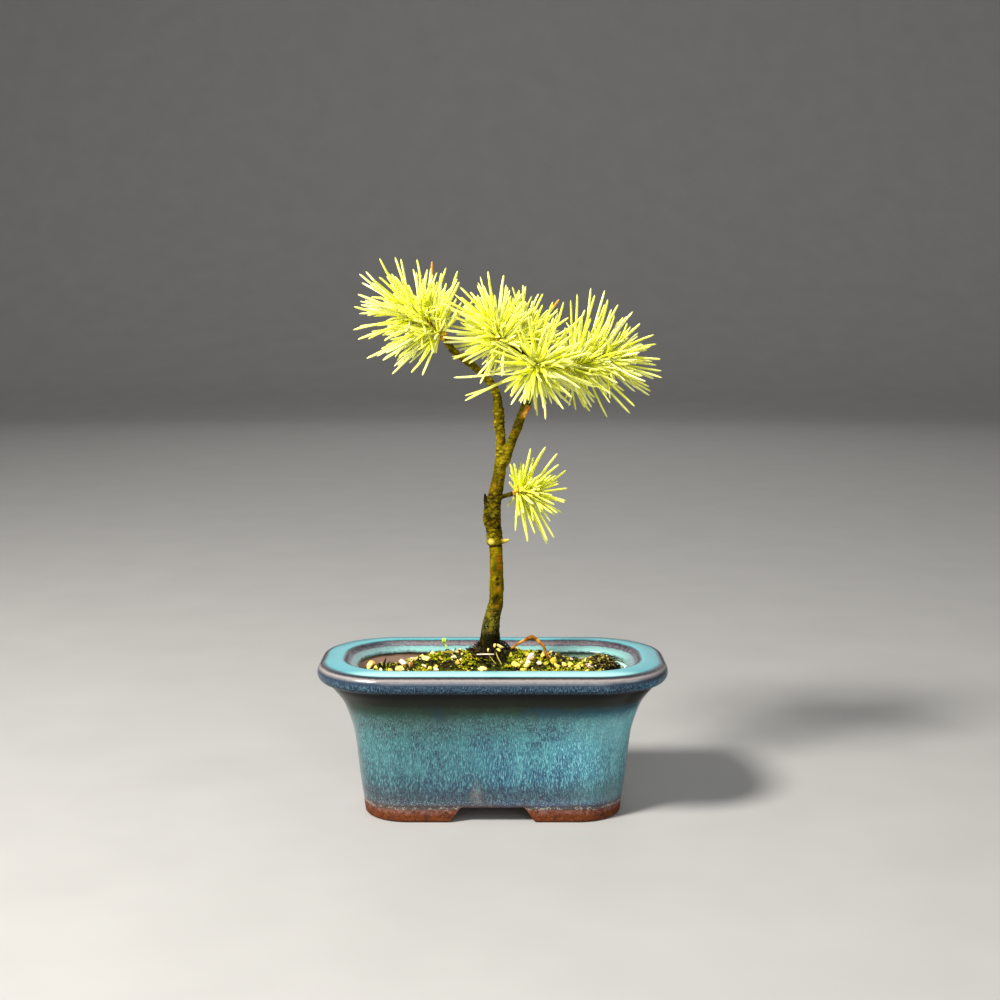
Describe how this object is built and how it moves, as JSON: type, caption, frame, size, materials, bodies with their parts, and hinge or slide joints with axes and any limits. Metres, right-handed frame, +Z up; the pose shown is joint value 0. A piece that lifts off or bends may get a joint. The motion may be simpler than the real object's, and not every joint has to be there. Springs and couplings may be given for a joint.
{
  "type": "japanese white pine bonsai",
  "caption": "Young grafted white pine bonsai with tufts of short needles, rooted in a mossy soil mound in a small oblong glazed pot on low feet.",
  "frame": {"origin": "middle of the pot's footprint, on the surface that the pot stands on", "axes": "+Z up along the trunk, +X along the pot's long side towards the lower, wider branch, +Y to the back"},
  "size_m": [0.141, 0.0748, 0.2244],
  "materials": {
    "glaze": "glossy streaked turquoise glaze, brown clay at the feet",
    "screen": "dark woven mesh",
    "soil": "grit, bark scraps and moss",
    "bark": "olive-brown scaly young bark",
    "needle": "satin yellow-green needles"
  },
  "bodies": {
    "root": {"pot": "glaze", "drain_screen_left": "screen", "drain_screen_right": "screen", "soil": "soil", "tree": "bark", "needles_front": "needle", "needles_right": "needle", "needles_middle": "needle", "needles_back": "needle", "needles_left": "needle", "needles_low": "needle"}
  },
  "joints": []
}
